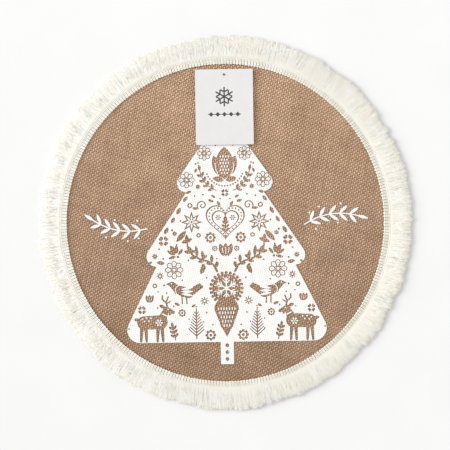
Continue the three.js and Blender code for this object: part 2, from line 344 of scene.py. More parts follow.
def bouquet():
    """A tall closed flower with rows of small scales, on two broad leaves."""
    bud = union(leaf(36, 9.5, 0, -15, 90), mirrored(leaf(26, 5.2, 3.4, -13, 70)))
    scales = []
    for row in range(6):
        y = -9.5 + 3.7 * row
        spread = (1, 2, 2, 2, 1, 1)[row]
        shift = 1.5 if row % 2 else 0
        xs = {x for i in range(-spread, spread + 1) for x in (3 * i + shift, 3 * i - shift)}
        scales += [leaf(2.9, 0.85, x, y, 90) for x in sorted(xs) if abs(x) < 5.8]
    edge = mirrored(line([(6.6, -11), (9.6, -4), (10.4, 3)], 0.45))
    base = mirrored(leaf(12.5, 3.0, 1.0, -16, 12))
    return union(without(bud, *scales, edge), base)


def wreath_side(r):
    """The right side of a leafy wreath round the origin, from its foot upwards."""
    leaves = []
    for turn in range(-62, -10, 13):
        x, y = r * math.cos(math.radians(turn)), r * math.sin(math.radians(turn))
        leaves += [leaf(5.8, 1.45, x, y, turn + 90 + side * 42) for side in (-1, 1)]
    tip = leaf(6.5, 1.5, r * math.cos(math.radians(9)), -r * math.sin(math.radians(9)), 80)
    return union(line(arc(r, -70, -9), 0.45), tip, *leaves)


def medallion(r):
    """A dark disc with a white snowflake."""
    arm = union(
        taper(0, 0, 0.74 * r, 0, 0.75, 0.6),
        mirrored_across(taper(0.36 * r, 0, 0.56 * r, 0.2 * r, 0.6)),
        mirrored_across(taper(0.56 * r, 0, 0.7 * r, 0.14 * r, 0.55)),
    )
    flake = union(round_about(arm, 6, 90), disc(1.9))
    dots = round_about(disc(0.75, 0.82 * r), 12, 15)
    points = round_about(leaf(0.24 * r, 0.11 * r, 0.99 * r), 24)
    return union(without(disc(r), flake, dots), points)


def cone():
    """A hanging fir cone: a pointed dark shape with rows of pale dashes."""
    body = union(taper(0, 10, 0, -4, 12.5, 7), polygon([(-7.6, -4), (7.6, -4), (0, -18)]))
    dashes = []
    for row in range(5):
        y = 12.5 - 4.3 * row
        shift = 1.4 if row % 2 else 0
        xs = [2.8 * i + shift for i in range(-4, 5)]
        dashes += [leaf(3.4, 0.7, x, y, -90) for x in xs if abs(x) < 10.5 - 1.7 * row]
    return without(body, *dashes)


def bough():
    """A leafy bough that sweeps up and out from the origin."""
    way = [(0, 0), (3.4, 6.5), (9.5, 10.4), (18, 13), (25, 17), (29.4, 23), (30.4, 31)]
    twigs = [(0.6, 4, 6.5, 98), (5.4, 8.6, 8.5, 92), (13.5, 12, 9.5, 80), (20, 14.6, 12, 84)]
    twigs += [(24.4, 17, 10, 64)]
    twigs += [(4.6, 7.6, 6.6, 8), (12.6, 11.4, 7, -14), (20.5, 14.6, 7.6, -6), (26.6, 19.2, 7, 14)]
    leaves = [leaf(length, 1.75, x, y, turn) for x, y, length, turn in twigs]
    return union(line(way, 1.15, 0.7), *leaves, leaf(8, 1.8, 30.4, 30, 88))


def bird():
    """A plain bird on two thin legs, facing +X, and its wing."""
    body = union(
        taper(-4, 0, 6, 2.8, 5.6, 4.6),
        taper(6, 2.8, 12.4, 8.6, 4.2, 3.0),
        polygon([(-6, 4.6), (-16, 9.8), (-19.4, 5.4), (-7, -4)]),
        polygon([(14.4, 11.0), (18.8, 9.0), (14.6, 7.2)]),
        taper(-2, -4, -2.6, -11, 0.65),
        taper(2.4, -3, 2.2, -11, 0.65),
    )
    wing = [leaf(12.5, 1.35, 3.2, 3.6 - 2.2 * i, 172 + 9 * i) for i in range(3)]
    return without(body, *wing, disc(0.8, 13.2, 9.6), line(arc(5.5, -75, 70, 3.6, 2.6, 6), 0.4))


def deer():
    """A plain standing deer, facing -X."""
    stance = ((-8, -1.0), (-4.6, 0.6), (6.4, -0.6), (9.8, 1.0))
    legs = [taper(x, -4, x + lean, -17, 1.75, 1.05) for x, lean in stance]
    horn = line([(-13.4, 12.6), (-12.0, 17.5), (-14.0, 22.5)], 0.75, 0.6)
    tines = [line([(-12.4, 16.2), (-15.8, 18.4)], 0.6)]
    tines += [line([(-12.3, 17), (-8.6, 20.4), (-8.8, 23.4)], 0.65)]
    body = union(
        taper(-7, 0, 8, -0.6, 6.2, 6.0),
        taper(-8, 2, -12, 10.4, 4.2, 2.6),
        taper(-12.2, 11, -18.4, 8.6, 2.9, 1.5),
        leaf(5.6, 1.5, -11, 12.8, 24),
        leaf(5.2, 1.5, 11.6, 1.8, 10),
        horn,
        *tines,
        *legs,
    )
    marks = [disc(0.75, x, y) for x, y in ((1.6, 3.6), (5.6, 3.8), (9.4, 2.8), (3.6, 1.2), (7.6, 0.8))]
    collar = line([(-12.4, 5.4), (-8.6, 7.4)], 0.6)
    return without(body, *marks, collar, disc(0.7, -13.6, 11.4), moved(daisy(3.3), -5.6, -0.6))


def fir_sprig(height, pairs):
    """A bare little fir with dots at its twigs' tips."""
    twigs = []
    for i in range(pairs):
        y = height * (0.1 + 0.72 * i / (pairs - 1))
        out = height * 0.24 * (1 - 0.7 * i / (pairs - 1))
        twigs.append(taper(0.3, y, out, y + out * 0.85, 0.55, 0.45))
    return union(taper(0, 0, 0, height, 0.6, 0.5), mirrored(union(*twigs)), disc(0.8, 0, height + 1.8))


def branch(length, pairs, size, bend=0.0):
    """A leafy branch along +X, whose tip is bend higher."""
    stem = line([(length * t, bend * t * t) for t in np.linspace(0, 1, 6)], 0.55, 0.4)
    leaves = []
    for i in range(pairs):
        t = (i + 0.7) / (pairs + 0.2)
        slope = math.degrees(math.atan2(2 * bend * t, length))
        leaves += [leaf(size, size * 0.25, length * t, bend * t * t, slope + side * 48) for side in (-1, 1)]
    tip = leaf(size, size * 0.25, length, bend, math.degrees(math.atan2(2 * bend, length)))
    return union(stem, *leaves, tip)


def swirl(size):
    spiral = line(curl(0.9 * size, 0.16 * size, -60, 400), 0.6, 0.5)
    return union(spiral, leaf(size, size * 0.24, 0.45 * size, -0.8 * size, -10))


def bud():
    """A bud between two leaves."""
    leaves = mirrored(union(leaf(9, 1.8, 1.2, -1.4, 62), leaf(8, 1.5, 1.4, -3.2, 20)))
    return union(leaf(10.5, 2.3, 0, -1, 90), leaves, disc(1.3, 0, -4.4))


# ---- The tree print's artwork ----
print_reach = 152  # the length that the print's shares are of
print_turn = 0.9  # degrees
# The right half's corners from the top down: x, y and the radius that rounds each, in shares of the reach.
tree_half = [
    (0.368, 0.222, 0.06),
    (0.259, 0.208, 0),
    (0.587, -0.282, 0.067),
    (0.467, -0.289, 0),
    (0.723, -0.8, 0.086),
    (0.044, -0.8, 0),
    (0.044, -0.95, 0),
]


def tree_outline():
    """The fir tree's corners, in shares of its reach, with each rounded one as an arc."""
    left = [(-x, y, r) for x, y, r in tree_half][::-1]
    corners = [(0, 0.741, 0.03), *tree_half, *left]
    outline = []
    for i, (x, y, r) in enumerate(corners):
        if r == 0:
            outline.append((x, y))
            continue
        at = np.array([x, y])
        back, ahead = [np.array(corners[(i + s) % len(corners)][:2]) - at for s in (-1, 1)]
        back, ahead = back / np.linalg.norm(back), ahead / np.linalg.norm(ahead)
        half = math.acos(back @ ahead) / 2
        middle = (back + ahead) / np.linalg.norm(back + ahead)
        centre = at + middle * r / math.sin(half)
        starts = [at + way * r / math.tan(half) - centre for way in (back, ahead)]
        first, last = [math.atan2(p[1], p[0]) for p in starts]
        last = first + (last - first + math.pi) % (2 * math.pi) - math.pi
        turns = np.linspace(first, last, 8)
        outline += [tuple(centre + r * np.array([math.cos(t), math.sin(t)])) for t in turns]
    return np.array(outline) * print_reach


def tree_plan():
    plan = Plan((-113, -147), (113, 115), 0.45)
    plan.stamp(polygon(tree_outline()), ink=True)
    upper_tier(plan)
    middle_tier(plan)
    lower_tier(plan)
    fillers(plan)
    for y in (-0.823, -0.869, -0.915):
        plan.stamp(disc(0.0125 * print_reach), (0, y * print_reach), 4)
    return plan


def upper_tier(plan):
    plan.stamp(small_star(3.0), (0, 98), 5)
    dots = ((0, 90.5), (-3.4, 87), (3.4, 87), (0, 83.8))
    plan.stamp(union(*[disc(0.7, x, y) for x, y in dots]), reach=100)
    plan.stamp(scaled(bouquet(), 0.92), (0, 58), 26)
    plan.stamp(union(*[disc(0.9, *p) for p in arc(19.5, -158, -22, 0, 57, 17)]), reach=100)
    plan.pair(petal_flower(7.2), (20.5, 71), 8)
    plan.pair(wreath_side(25.5), (0, 57), 36)
    plan.pair(petal_flower(8.2), (39, 44), 9)
    plan.stamp(clover(), (0, 30.5), 5)
    plan.pair(disc(1.0), (48.5, 37.8), 3)
    plan.pair(disc(1.0), (29.5, 60.5), 3)


def middle_tier(plan):
    plan.stamp(heart(), (0, 0.5), 24)
    plan.pair(big_star(), (34.5, 1), 13)
    plan.pair(swirl(6), (23.5, 18), 10, 20)
    plan.pair(hoop(2.0, 0.65), (36, 18), 4)
    plan.pair(hoop(1.7, 0.6), (27.5, -12.5), 4)
    plan.pair(cog_flower(5.6), (15.5, -15), 7)
    plan.pair(cog_flower(2.9), (11.2, -26.2), 4)
    plan.stamp(tulip(), (0, -27.5), 12)
    plan.pair(leaf(15, 2.6, -7, 0, 0), (45, -13), 10, -48)
    plan.pair(leaf(12, 2.2, -6, 0, 0), (39.5, -18), 10, -20)
    plan.pair(bud(), (51.5, -30.5), 13, -34)
    plan.pair(clover(4.8), (63.5, -18), 6)
    plan.pair(disc(1.1), (54.4, -7), 3)
    plan.pair(small_star(2.6), (72.5, -33.5), 5)
    plan.pair(disc(1.0), (64, -36), 3)


def lower_tier(plan):
    plan.pair(bough(), (9.2, -49.5), 48)
    plan.stamp(medallion(14.4), (0, -67), 20)
    plan.stamp(cone(), (0, -98.5), 26)
    plan.pair(petal_flower(9.2), (53, -47.5), 10)
    plan.pair(leaf(13, 2.7, -6, 0, 90), (31.5, -49), 9, 30)
    plan.pair(small_star(3.5), (67.5, -53.5), 5)
    plan.pair(small_star(4.0), (22.5, -79.5), 6)
    plan.pair(bird(), (43, -71), 25)
    plan.pair(hoop(1.8, 0.6), (73, -63.5), 4)
    plan.pair(fir_sprig(31, 8), (31, -118), 38)
    plan.pair(cog_flower(4.0), (45.5, -91.5), 6)
    plan.pair(cog_flower(5.6), (16.6, -114.5), 7)
    plan.pair(scaled(deer(), 1.14), (75.5, -100.5), 34)
    plan.pair(scaled(tulip(), 0.6), (78.5, -76.5), 8)
    plan.pair(clover(3.9), (86.5, -88), 6)
    plan.pair(branch(13, 3, 5.4, 0), (52.5, -119), 24, 78)
    plan.pair(disc(1.0), (58, -93), 3)
    plan.pair(disc(1.0), (63.5, -63), 3)


def fillers(plan):
    """The small motifs that fill the ground between the larger ones."""
    dots = [
        (9, 79, 0.8), (27, 61.5, 0.9), (22.5, 29, 0.9), (50.5, 38.5, 0.9), (5, 24.5, 0.8),
        (31, 27.5, 0.9), (9.5, -36.5, 0.8), (27.2, -4.2, 0.8), (46, 2.5, 0.9), (50, -22, 0.9),
        (59, -28, 0.8), (68, -26, 0.9), (38.5, -38, 0.9), (20, -56, 0.9), (24.5, -64.5, 0.8),
        (61, -71, 0.9), (20.5, -91.5, 0.9), (24, -101, 0.8), (38.5, -98, 0.8), (38.6, -108, 0.8),
        (54, -84.5, 0.9), (100, -107, 0.9), (70.5, -86, 0.8), (69.8, -69.6, 0.8), (9.6, -83.8, 0.8),
        (74.5, -47.5, 0.9), (45, -58, 0.8), (14.4, -104, 0.8), (101, -115, 1.0), (56.5, -103.5, 0.8),
    ]
    for x, y, size in dots:
        plan.pair(disc(size), (x, y), 3)
    leaves = [
        (6.6, 19.6, 60, 6), (14.5, 22.6, 20, 6), (40.5, 24.6, -50, 7), (47.5, 12.5, -60, 8),
        (53.5, 3.2, -58, 7), (60.5, -7.5, -60, 8), (66.5, -40.2, 10, 8), (77.5, -40, -30, 5),
        (22.8, -44.5, 60, 7), (22, -34.6, -30, 7), (50.5, -82.5, 24, 6), (33.8, -84.4, 150, 5),
        (29.5, 53.5, 110, 5), (33.6, -28.8, 10, 6), (60, -90, 60, 5), (12, 27, 30, 5), (37, 31.5, -20, 6),
    ]
    for x, y, turn, length in leaves:
        plan.pair(leaf(length, 0.24 * length, -length / 2), (x, y), length, turn)
    for x, y in [(52, -10.5), (27.5, 37)]:
        plan.pair(small_star(2.2), (x, y), 4)


# ---- Sprigs at the tree's sides, and the tag's marks ----
def sprig_shape():
    """A leafy sprig on an arched stem, 56 long, centred on the origin."""
    half, arch = 28, 6.2
    stem = line([(x, arch * (1 - (x / half) ** 2)) for x in np.linspace(-half, half, 15)], 0.65)
    leaves = []
    for i in range(5):
        x = -half + 2 * half / 5.5 * (i + 0.6)
        slope = math.degrees(math.atan(-2 * arch * x / half**2))
        leaves += [leaf(12, 1.6, x, arch * (1 - (x / half) ** 2), slope + side * 42) for side in (-1, 1)]
    end = half - 1.3
    tip = leaf(12, 1.6, end, arch * (1 - (end / half) ** 2), math.degrees(math.atan(-2 * arch / half)))
    berry_places = ((-21, 11), (-10.5, 15.6), (12, 15.2), (-17, -6.4), (6, -3.6))
    berries = union(*[disc(1.0, x, y) for x, y in berry_places])
    return union(stem, tip, berries, *leaves)


def sprig_plan(side):
    x, y = [(-0.708, -0.012), (0.712, 0.018)][side > 0]
    at = np.array([x, y]) * print_reach
    plan = Plan(at - (42, 28), at + (42, 28), 0.4)
    plan.stamp(sprig_shape(), at, turn=9 if side > 0 else 171, ink=True)
    return plan


def snowflake_plan():
    plan = Plan((-12, -34), (12, -9), 0.22)
    arm = union(taper(0, 0, 9.4, 0, 0.68), mirrored_across(taper(4.9, 0, 6.9, 3.5, 0.66)))
    plan.stamp(round_about(arm, 6, 30), (0, -21.4), ink=True)
    return plan


def rule_plan():
    plan = Plan((-19, -42), (19, -37), 0.18)
    plan.stamp(taper(-16.6, 0, 16.6, 0, 0.35), (0, -39.4), ink=True)
    for i in range(-2, 3):
        plan.stamp(star(2, 2.4, 2.4), (6.8 * i, -39.4), 3, ink=True)
    return plan


def card_plan():
    plan = Plan((-31, -72), (31, 9), 0.5)
    inner = polygon([(-28.9, -69.8), (28.9, -69.8), (28.9, 6.0), (-28.9, 6.0)])
    plan.stamp(lambda x, y: inner(x, y) - 0.6, ink=True)
    plan.stamp(disc(hole_radius), (0, hole_up), 3)
    return plan


# ---- Meshes ----
def unit(vectors):
    return vectors / np.linalg.norm(vectors, axis=-1, keepdims=True)


def turned(points, degrees, shift=(0, 0)):
    x, y = spun(points[..., 0], points[..., 1], degrees)
    return np.stack([x + shift[0], y + shift[1], *np.moveaxis(points[..., 2:], -1, 0)], -1)


def ring_points(angle, radius, height):
    """Points at angles, radii and heights, as (..., 3)."""
    angle, radius, height = np.broadcast_arrays(angle, radius, height)
    return np.stack([radius * np.cos(angle), radius * np.sin(angle), height], -1)


def smooth_noise(rng, count, every):
    """count values from -1 to 1 that wander, with a new aim every few values."""
    knots = rng.uniform(-1, 1, count // every + 3)
    return np.interp(np.arange(count) / every, np.arange(len(knots)), knots)


def mesh_of(name, points, faces, tones=None, sharp=None):
    """A smooth mesh in metres. faces is a list of arrays, each of faces with one number of sides."""
    mesh = bpy.data.meshes.new(name)
    sizes = np.concatenate([np.full(len(f), f.shape[1]) for f in faces])
    loops = np.concatenate([f.ravel() for f in faces]).astype(np.int32)
    mesh.vertices.add(len(points))
    mesh.vertices.foreach_set("co", (points * MM).astype(np.float32).ravel())
    mesh.loops.add(len(loops))
    mesh.loops.foreach_set("vertex_index", loops)
    mesh.polygons.add(len(sizes))
    mesh.polygons.foreach_set("loop_start", (np.cumsum(sizes) - sizes).astype(np.int32))
    mesh.polygons.foreach_set("use_smooth", np.ones(len(sizes), bool))
    mesh.update(calc_edges=True)
    if mesh.validate():
        print("mended faces in", name)
    if tones is not None:
        mesh.attributes.new("tone", "FLOAT", "POINT").data.foreach_set("value", tones.astype(np.float32))
    if sharp is not None:
        mesh.set_sharp_from_angle(angle=math.radians(sharp))
    return mesh


def lay_flat_map(mesh):
    """A map for baking: the faces that look up fill one half of it, and those that look down the other."""
    count = len(mesh.polygons)
    normals, starts = np.zeros(count * 3, np.float32), np.zeros(count, np.int32)
    mesh.polygons.foreach_get("normal", normals)
    mesh.polygons.foreach_get("loop_start", starts)
    loops, points = np.zeros(len(mesh.loops), np.int32), np.zeros(len(mesh.vertices) * 3, np.float32)
    mesh.loops.foreach_get("vertex_index", loops)
    mesh.vertices.foreach_get("co", points)
    flat = points.reshape(-1, 3)[loops, :2]
    low, high = flat.min(0), flat.max(0)
    place = 0.005 + 0.99 * (flat - low) / max(high - low)
    sizes = np.diff(np.append(starts, len(loops)))
    down = np.repeat(normals.reshape(-1, 3)[:, 2] < 0, sizes)
    place[:, 1] = place[:, 1] / 2 + 0.5 * down
    mesh.uv_layers.new(name="OFBake").data.foreach_set("uv", place.astype(np.float32).ravel())


class Yarns:
    """Tubes along lines of points, gathered into one mesh."""

    def __init__(self):
        self.points, self.tones, self.faces, self.count = [], [], {}, 0

    def add(self, centre, half_width, half_height=None, sides=4, tone=0.5, side=None, loop=False):
        """centre is (lines, points, 3) or (points, 3); widths and tones are numbers or (lines, points)."""
        centre = np.asarray(centre, float)
        centre = centre[None] if centre.ndim == 2 else centre
        if loop:
            along = unit(np.roll(centre, -1, 1) - np.roll(centre, 1, 1))
        else:
            along = unit(np.gradient(centre, axis=1))
        side = unit(np.cross([0.0, 0.0, 1.0], along)) if side is None else side
        up = np.cross(along, side)
        size = centre.shape[:2]
        width = np.broadcast_to(half_width, size)[..., None, None]
        height = width if half_height is None else np.broadcast_to(half_height, size)[..., None, None]
        turn = 2 * np.pi * np.arange(sides)[:, None] / sides
        wide = side[:, :, None] * width * np.cos(turn)
        high = up[:, :, None] * height * np.sin(turn)
        rings = centre[:, :, None] + wide + high
        here = self.count + np.arange(rings[..., 0].size).reshape(*size, sides)
        start, end = (here, np.roll(here, -1, 1)) if loop else (here[:, :-1], here[:, 1:])
        walls = np.stack([start, np.roll(start, -1, 2), np.roll(end, -1, 2), end], -1)
        self.faces.setdefault(4, []).append(walls.reshape(-1, 4))
        if not loop:
            self.faces.setdefault(sides, []).extend([here[:, 0, ::-1], here[:, -1]])
        self.points.append(rings.reshape(-1, 3))
        self.tones.append(np.repeat(np.broadcast_to(tone, size).ravel(), sides))
        self.count += here.size

    def mesh(self, name, flat_map=False):
        faces = [np.concatenate(f) for f in self.faces.values()]
        mesh = mesh_of(name, np.concatenate(self.points), faces, np.concatenate(self.tones))
        if flat_map:
            lay_flat_map(mesh)
        return mesh


def slab(name, plan, inner, top, thickness, place, sharp=50):
    """A thin closed piece of a plan's outline, with more points inside it.

    place(points) moves it into the world. top(world points) gives its upper face's height and tone."""
    rim, edges = plan.contour()
    inner = inner[plan.sample(inner) < -0.3]
    points = [Vector(p) for p in np.concatenate([rim, inner]).tolist()]
    points, _, faces, _, _, _ = delaunay_2d_cdt(points, edges.tolist(), [], 0, 1e-5)
    points, faces = np.array(points), np.array([f for f in faces if len(f) == 3])
    a, b, c = (points[faces[:, k]] for k in range(3))
    area = (b[:, 0] - a[:, 0]) * (c[:, 1] - a[:, 1]) - (b[:, 1] - a[:, 1]) * (c[:, 0] - a[:, 0])
    faces = np.where(area[:, None] < 0, faces[:, ::-1], faces)
    faces = faces[(plan.sample((a + b + c) / 3) < 0) & (abs(area) > 1e-6)]
    used, faces = np.unique(faces, return_inverse=True)
    points, faces, count = points[used], faces.reshape(-1, 3), len(used)
    sides = np.concatenate([faces[:, [0, 1]], faces[:, [1, 2]], faces[:, [2, 0]]])
    codes, back = sides[:, 0] * count + sides[:, 1], sides[:, 1] * count + sides[:, 0]
    edge = sides[~np.isin(codes, back)]
    walls = np.stack([edge[:, 0] + count, edge[:, 1] + count, edge[:, 1], edge[:, 0]], 1)
    world = place(points)
    height, tone = top(world)
    upper = np.concatenate([world, height[:, None]], 1)
    lower = np.concatenate([world, (height - thickness)[:, None]], 1)
    all_faces = [np.concatenate([faces, faces[:, ::-1] + count]), walls]
    return mesh_of(name, np.concatenate([upper, lower]), all_faces, np.concatenate([tone, tone]), sharp)


def lathe(name, profile, steps, centre, sharp=60):
    """A profile of (radius, height) turned about +Z; its first and last points are on the axis."""
    profile = np.array(profile, float)
    turn = 2 * np.pi * np.arange(steps) / steps
    rings = ring_points(turn[None, :], profile[1:-1, :1], profile[1:-1, 1:])
    ends = [[0, 0, profile[0, 1]], [0, 0, profile[-1, 1]]]
    points = np.concatenate([rings.reshape(-1, 3), ends]) + [*centre, 0]
    here = np.arange(rings[..., 0].size).reshape(-1, steps)
    after = np.roll(here, -1, 1)
    walls = np.stack([here[:-1], after[:-1], after[1:], here[1:]], -1).reshape(-1, 4)
    first = np.stack([np.full(steps, here.size), after[0], here[0]], 1)
    last = np.stack([np.full(steps, here.size + 1), here[-1], after[-1]], 1)
    return mesh_of(name, points, [walls, np.concatenate([first, last])], np.full(len(points), 0.5), sharp)


# ---- Materials ----
def srgb(red, green, blue):
    def linear(c):
        c = c / 255
        return c / 12.92 if c <= 0.04045 else ((c + 0.055) / 1.055) ** 2.4

    return (linear(red), linear(green), linear(blue), 1)


white = srgb(255, 255, 255)


class Paint:
    """A material on one Principled shader."""

    def __init__(self, name, **sockets):
        self.material = bpy.data.materials.new(name)
        self.material.use_nodes = True
        self.tree = self.material.node_tree
        self.shader = self.tree.nodes["Principled BSDF"]
        for key, value in sockets.items():
            self.shader.inputs[key.replace("_", " ")].default_value = value
        self.place = self.add("TexCoord").outputs["Object"]

    def add(self, kind, inputs=None, **settings):
        node = self.tree.nodes.new("ShaderNode" + kind)
        for key, value in settings.items():
            setattr(node, key, value)
        for key, value in (inputs or {}).items():
            self.put(node.inputs[key], value)
        return node

    def put(self, socket, value):
        if isinstance(value, bpy.types.NodeSocket):
            self.tree.links.new(value, socket)
        else:
            socket.default_value = value

    def math(self, operation, a, b):
        return self.add("Math", {0: a, 1: b}, operation=operation).outputs[0]

    def dot(self, a, b):
        return self.add("VectorMath", {0: a, 1: b}, operation="DOT_PRODUCT").outputs["Value"]

    def tone(self):
        return self.add("Attribute", attribute_name="tone").outputs["Fac"]

    def noise(self, size, detail=2.0, stretch=(1, 1, 1), turn=0.0):
        """Noise from 0 to 1 with features of a size in millimetres, drawn out along an axis by stretch."""
        scale = tuple(1 / (size * MM * s) for s in stretch)
        facing = self.add("Mapping", {"Vector": self.place, "Rotation": (0, 0, math.radians(turn))})
        sized = self.add("Mapping", {"Vector": facing.outputs[0], "Scale": scale})
        noise = self.add("TexNoise", {"Vector": sized.outputs[0], "Scale": 1.0, "Detail": detail})
        return noise.outputs["Fac"]

    def ramp(self, factor, *stops):
        """A colour for a factor, between stops of (factor, colour)."""
        node = self.add("ValToRGB", {"Fac": factor})
        elements = node.color_ramp.elements
        while len(elements) < len(stops):
            elements.new(0.5)
        for element, (at, colour) in zip(elements, stops):
            element.position, element.color = at, colour
        return node.outputs["Color"]

    def weigh(self, *parts):
        """The sum of values, each given with its weight."""
        total, *rest = [self.math("MULTIPLY", value, weight) for value, weight in parts]
        for part in rest:
            total = self.math("ADD", total, part)
        return total

    def times(self, a, b):
        """Two colours multiplied."""
        node = self.add("Mix", {"Factor": 1.0}, data_type="RGBA", blend_type="MULTIPLY")
        self.put(node.inputs[6], a)
        self.put(node.inputs[7], b)
        return node.outputs[2]

    def painted_falloff(self, colour, way, far_shade):
        """Darkens a colour more and more towards one side of the mat, against a direction given in shares per
        metre: painted shade, as if the light fell off across the mat.
        """
        falloff_ramp = self.ramp(self.math("ADD", self.dot(self.place, way), 0.5), (0.05, far_shade), (0.95, white))
        return self.times(colour, falloff_ramp)

    def span(self, value, low, high):
        """Moves a value from 0..1 to low..high."""
        return self.add("MapRange", {"Value": value, "To Min": low, "To Max": high}).outputs[0]

    def finish(self, colour, rough=None, bump=None, strength=0.5, depth=0.1):
        self.put(self.shader.inputs["Base Color"], colour)
        if rough is not None:
            self.put(self.shader.inputs["Roughness"], rough)
        if bump is not None:
            node = self.add("Bump", {"Height": bump, "Strength": strength, "Distance": depth * MM})
            self.put(self.shader.inputs["Normal"], node.outputs[0])
        return self.material


def jute(name, turn, light, middle, dark):
    """Coarse jute yarn. turn is the yarn's direction from +X."""
    paint = Paint(name, Sheen_Weight=0.12, Sheen_Roughness=0.6, Specular_IOR_Level=0.25)
    fibres = paint.noise(0.22, 3, (7, 1, 1), -turn)
    mottle = paint.noise(32, 3)
    shade = paint.weigh((paint.tone(), 0.6), (fibres, 0.4))
    colour = paint.ramp(shade, (0.25, dark), (0.5, middle), (0.75, light))
    worn = paint.ramp(mottle, (0.3, srgb(231, 228, 224)), (0.7, white))
    # Darker between the slanting rows of yarn tops: painted shade in the weave's hollows.
    shade_between_ridges = paint.ramp(diagonals(paint), (0.0, srgb(203, 197, 191)), (1.0, white))
    colour = paint.times(paint.times(colour, worn), shade_between_ridges)
    # Darker towards the mat's bottom: painted shade, as if the light fell off away from the top.
    colour = paint.painted_falloff(colour, (0.0, 2.9, 0), srgb(221, 218, 215))
    return paint.finish(colour, paint.span(fibres, 0.86, 1.0), fibres, 0.7, 0.12)


def diagonals(paint):
    """1 on the slanting rows that the tops of the yarns make, and 0 between them."""
    turn = paint.add("Mapping", {"Vector": paint.place, "Rotation": (0, 0, math.radians(-weave_turn))})
    step = (math.pi / (warp_pitch * MM), -math.pi / (weft_pitch * MM), 0)
    wave = paint.add("Math", {0: paint.dot(turn.outputs[0], step)}, operation="COSINE").outputs[0]
    return paint.add("MapRange", {"Value": wave, "From Min": -1.0, "From Max": 1.0}).outputs[0]


def calico(name, light, dark, pitch=0.55):
    """Fine plain cloth."""
    paint = Paint(name, Sheen_Weight=0.08, Specular_IOR_Level=0.25)
    scale = math.pi / (20 * pitch * MM)  # a wave is as long as two yarns
    inputs = {"Vector": paint.place, "Scale": scale, "Distortion": 0.6, "Detail": 1.0}
    waves = [paint.add("TexWave", inputs, bands_direction=way).outputs["Fac"] for way in ("X", "Y")]
    weave = paint.math("MULTIPLY", *waves)
    shade = paint.weigh((weave, 0.5), (paint.noise(14, 3), 0.5))
    colour = paint.ramp(shade, (0.15, dark), (0.7, light))
    return paint.finish(colour, paint.span(weave, 0.85, 1.0), weave, 0.6, 0.15)


def cotton(name, light, dark, size=0.25):
    """Soft cream cotton yarn."""
    paint = Paint(name, Sheen_Weight=0.5, Sheen_Roughness=0.5, Specular_IOR_Level=0.3)
    fibres = paint.noise(size, 3)
    mottle = paint.noise(11, 2)
    shade = paint.weigh((paint.tone(), 0.55), (fibres, 0.25), (mottle, 0.2))
    colour = paint.ramp(shade, (0.25, dark), (0.72, light))
    cream = paint.ramp(paint.noise(17, 2), (0.4, srgb(255, 253, 249)), (0.6, white))
    # Darker towards the mat's right: painted shade, as if the light from the left fell off across the fringe.
    colour = paint.painted_falloff(paint.times(colour, cream), (-1.9, 0.3, 0), srgb(238, 237, 233))
    return paint.finish(colour, paint.span(fibres, 0.8, 0.98), fibres, 0.25, 0.08)


def thread(name, light, dark, turn=35):
    """Sewing thread, with the slanting lines of its twist."""
    paint = Paint(name, Sheen_Weight=0.1, Specular_IOR_Level=0.4)
    twist = paint.noise(0.12, 2, (4, 1, 1), turn)
    colour = paint.ramp(paint.weigh((paint.tone(), 0.5), (twist, 0.5)), (0.2, dark), (0.75, light))
    return paint.finish(colour, paint.span(twist, 0.55, 0.85), twist, 0.6, 0.05)


def white_ink():
    """Screen ink, thinner in the hollows of the weave."""
    paint = Paint("white_ink", Specular_IOR_Level=0.35)
    grain = paint.noise(0.5, 3)
    patchy = paint.noise(6, 2)
    cover = paint.math("ADD", paint.tone(), paint.math("MULTIPLY", paint.math("ADD", grain, patchy), 0.35))
    thin, even, thick = srgb(196, 180, 164), srgb(228, 225, 220), srgb(238, 237, 235)
    colour = paint.ramp(cover, (0.3, thin), (0.55, even), (1.0, thick))
    return paint.finish(colour, paint.span(grain, 0.55, 0.75), grain, 0.35, 0.06)


def card_stock():
    paint = Paint("card_stock", Specular_IOR_Level=0.3)
    fibres = paint.noise(0.4, 4, (3, 1, 1), 15)
    cloud = paint.noise(9, 2)
    shade = paint.math("MULTIPLY", paint.math("ADD", fibres, cloud), 0.5)
    colour = paint.ramp(shade, (0.3, srgb(214, 213, 212)), (0.7, srgb(220, 219, 218)))
    return paint.finish(colour, paint.span(fibres, 0.5, 0.65), fibres, 0.2, 0.03)


def grey_ink():
    paint = Paint("grey_ink", Specular_IOR_Level=0.3)
    grain = paint.noise(0.15, 3)
    colour = paint.ramp(grain, (0.3, srgb(56, 56, 56)), (0.75, srgb(84, 83, 83)))
    return paint.finish(colour, paint.span(grain, 0.5, 0.7), grain, 0.2, 0.02)


def nylon(name, light, dark, clear=0.0):
    paint = Paint(name, Transmission_Weight=clear, Specular_IOR_Level=0.5)
    grain = paint.noise(0.3, 3)
    colour = paint.ramp(grain, (0.3, dark), (0.75, light))
    return paint.finish(colour, paint.span(grain, 0.28, 0.45), grain, 0.15, 0.02)


def floor_paint():
    paint = Paint("floor_paint", Specular_IOR_Level=0.1)
    grain = paint.noise(60, 2)
    colour = paint.ramp(grain, (0.3, srgb(230, 230, 229)), (0.7, srgb(232, 232, 231)))
    return paint.finish(colour, paint.span(grain, 0.9, 1.0), grain, 0.05, 0.05)


